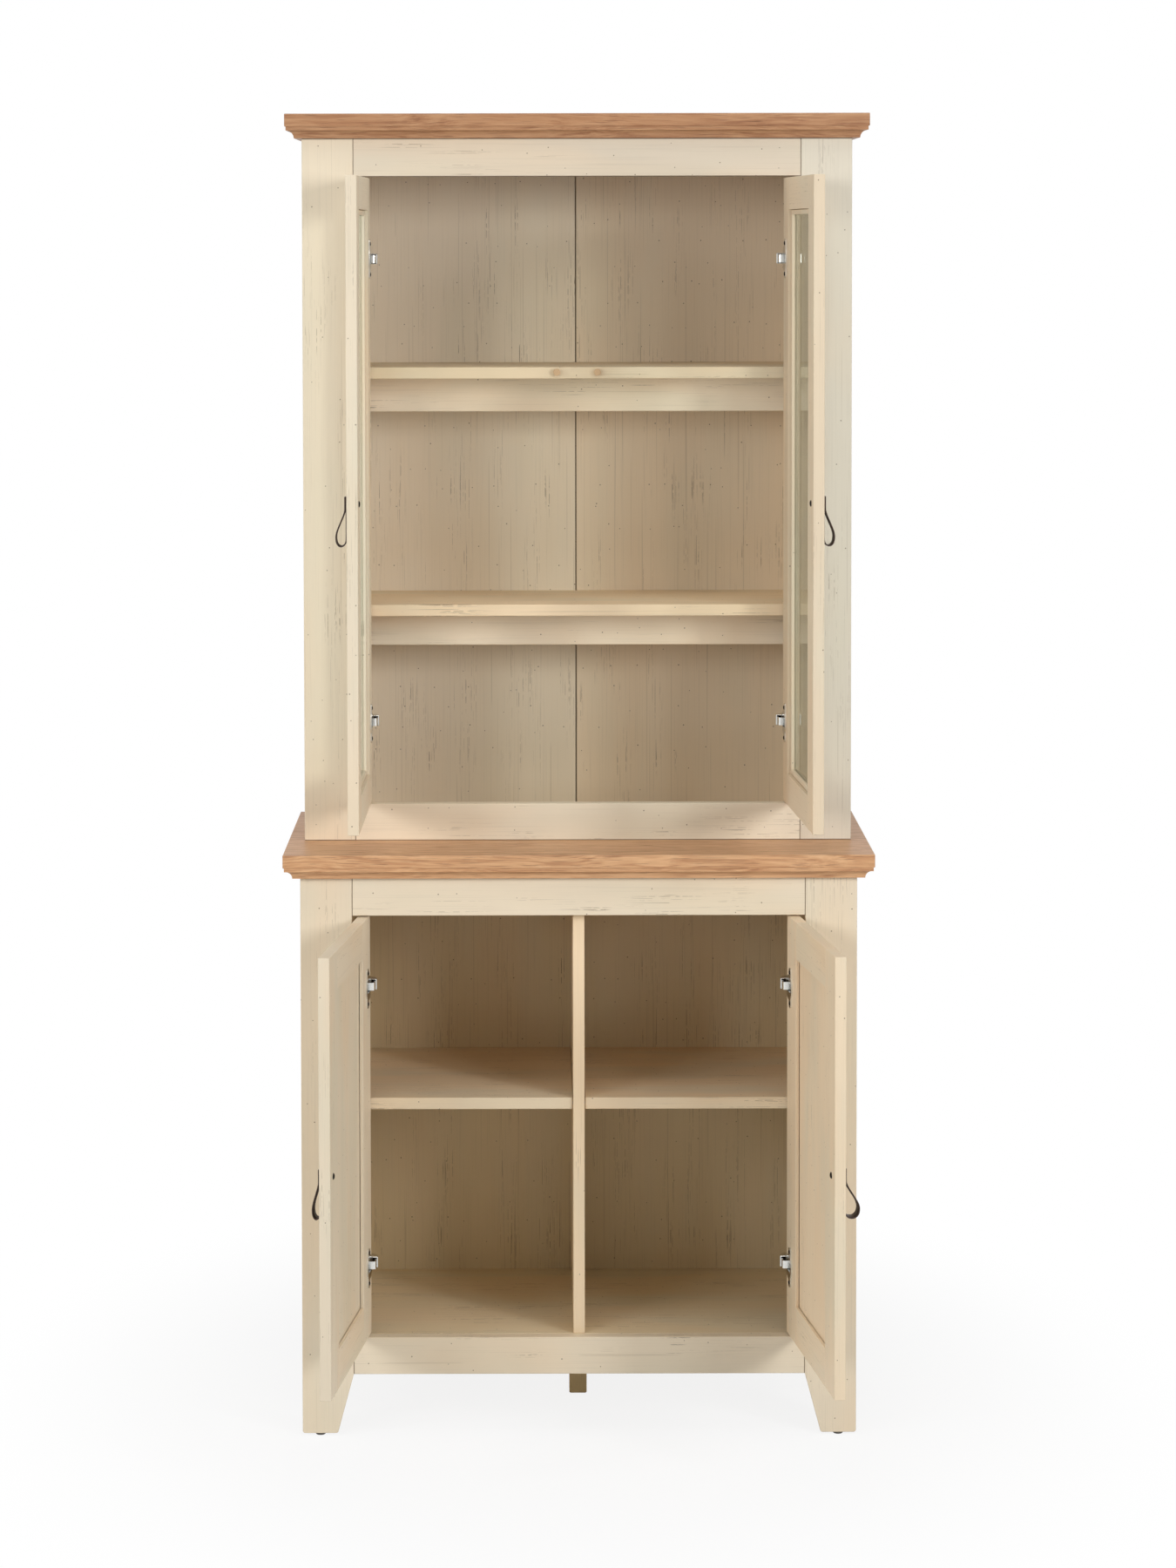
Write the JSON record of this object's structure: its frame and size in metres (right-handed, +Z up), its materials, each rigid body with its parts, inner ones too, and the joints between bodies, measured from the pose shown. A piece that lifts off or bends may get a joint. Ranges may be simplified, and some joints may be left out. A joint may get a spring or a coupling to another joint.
{
  "type": "display cabinet",
  "caption": "Free-standing display cabinet: glazed hutch with shelves over a panelled cupboard base, oak-look tops, leather strap handles, concealed hinges.",
  "frame": {"origin": "on the floor, under the middle of the centre leg's foot, midway across the cabinet's width", "axes": "+Z up, +X to the right as a viewer faces the doors, +Y from the doors towards the back"},
  "size_m": [0.914, 0.7421, 2.06],
  "materials": {
    "cream_wood": "thin cream paint over open-grained oak",
    "oak": "oiled oak, satin",
    "glass": "clear, polished",
    "leather": "very dark brown, waxed",
    "hinge_metal": "nickel-plated steel",
    "handle_screw": "burnished",
    "zinc_steel": "zinc-plated",
    "glide_plastic": "moulded, matte",
    "buffer_plastic": "tan, matte"
  },
  "bodies": {
    "root": {"back_battens": "cream_wood", "base_back_panels": "cream_wood", "base_bottom_rail": "cream_wood", "base_divider": "cream_wood", "base_floor": "cream_wood", "base_shelf_left": "cream_wood", "base_shelf_right": "cream_wood", "base_side_left": "cream_wood", "base_side_right": "cream_wood", "base_stile_left": "cream_wood", "base_stile_right": "cream_wood", "base_top_board": "oak", "base_top_moulding": "oak", "base_top_rail": "cream_wood", "centre_leg": "cream_wood", "door_buffers": "buffer_plastic", "foot_glides": "glide_plastic", "hinge_arms": "hinge_metal", "hinge_blocks": "cream_wood", "hutch_back_panels": "cream_wood", "hutch_bottom_rail": "cream_wood", "hutch_crown_moulding": "oak", "hutch_fixing_bolts": "zinc_steel", "hutch_floor": "cream_wood", "hutch_shelf_lower": "cream_wood", "hutch_shelf_rails": "cream_wood", "hutch_shelf_upper": "cream_wood", "hutch_side_left": "cream_wood", "hutch_side_right": "cream_wood", "hutch_stile_left": "cream_wood", "hutch_stile_right": "cream_wood", "hutch_top_board": "oak", "hutch_top_rail": "cream_wood", "shelf_pins": "zinc_steel"},
    "hutch_left_door": {"hutch_left_door_beads": "cream_wood", "hutch_left_door_glass": "glass", "hutch_left_door_handle": "leather", "hutch_left_door_handle_screw": "handle_screw", "hutch_left_door_hinges": "hinge_metal", "hutch_left_door_rails": "cream_wood", "hutch_left_door_stiles": "cream_wood"},
    "hutch_right_door": {"hutch_right_door_beads": "cream_wood", "hutch_right_door_glass": "glass", "hutch_right_door_handle": "leather", "hutch_right_door_handle_screw": "handle_screw", "hutch_right_door_hinges": "hinge_metal", "hutch_right_door_rails": "cream_wood", "hutch_right_door_stiles": "cream_wood"},
    "base_left_door": {"base_left_door_handle": "leather", "base_left_door_handle_screw": "handle_screw", "base_left_door_hinges": "hinge_metal", "base_left_door_panel": "cream_wood", "base_left_door_rails": "cream_wood", "base_left_door_stiles": "cream_wood"},
    "base_right_door": {"base_right_door_handle": "leather", "base_right_door_handle_screw": "handle_screw", "base_right_door_hinges": "hinge_metal", "base_right_door_panel": "cream_wood", "base_right_door_rails": "cream_wood", "base_right_door_stiles": "cream_wood"}
  },
  "joints": [
    {"name": "hutch_left_door_hinge", "type": "hinge", "parent": "root", "child": "hutch_left_door", "pos_m": [-0.3365, -0.0975, 1.4675], "axis": [0, 0, -1], "range_deg": [-90.6, 14.4]},
    {"name": "hutch_right_door_hinge", "type": "hinge", "parent": "root", "child": "hutch_right_door", "pos_m": [0.3365, -0.0975, 1.4675], "axis": [0, 0, 1], "range_deg": [-93.6, 11.4]},
    {"name": "base_left_door_hinge", "type": "hinge", "parent": "root", "child": "base_left_door", "pos_m": [-0.3365, -0.2175, 0.486], "axis": [0, 0, -1], "range_deg": [-97.2, 7.8]},
    {"name": "base_right_door_hinge", "type": "hinge", "parent": "root", "child": "base_right_door", "pos_m": [0.3365, -0.2175, 0.486], "axis": [0, 0, 1], "range_deg": [-97.8, 7.2]}
  ]
}
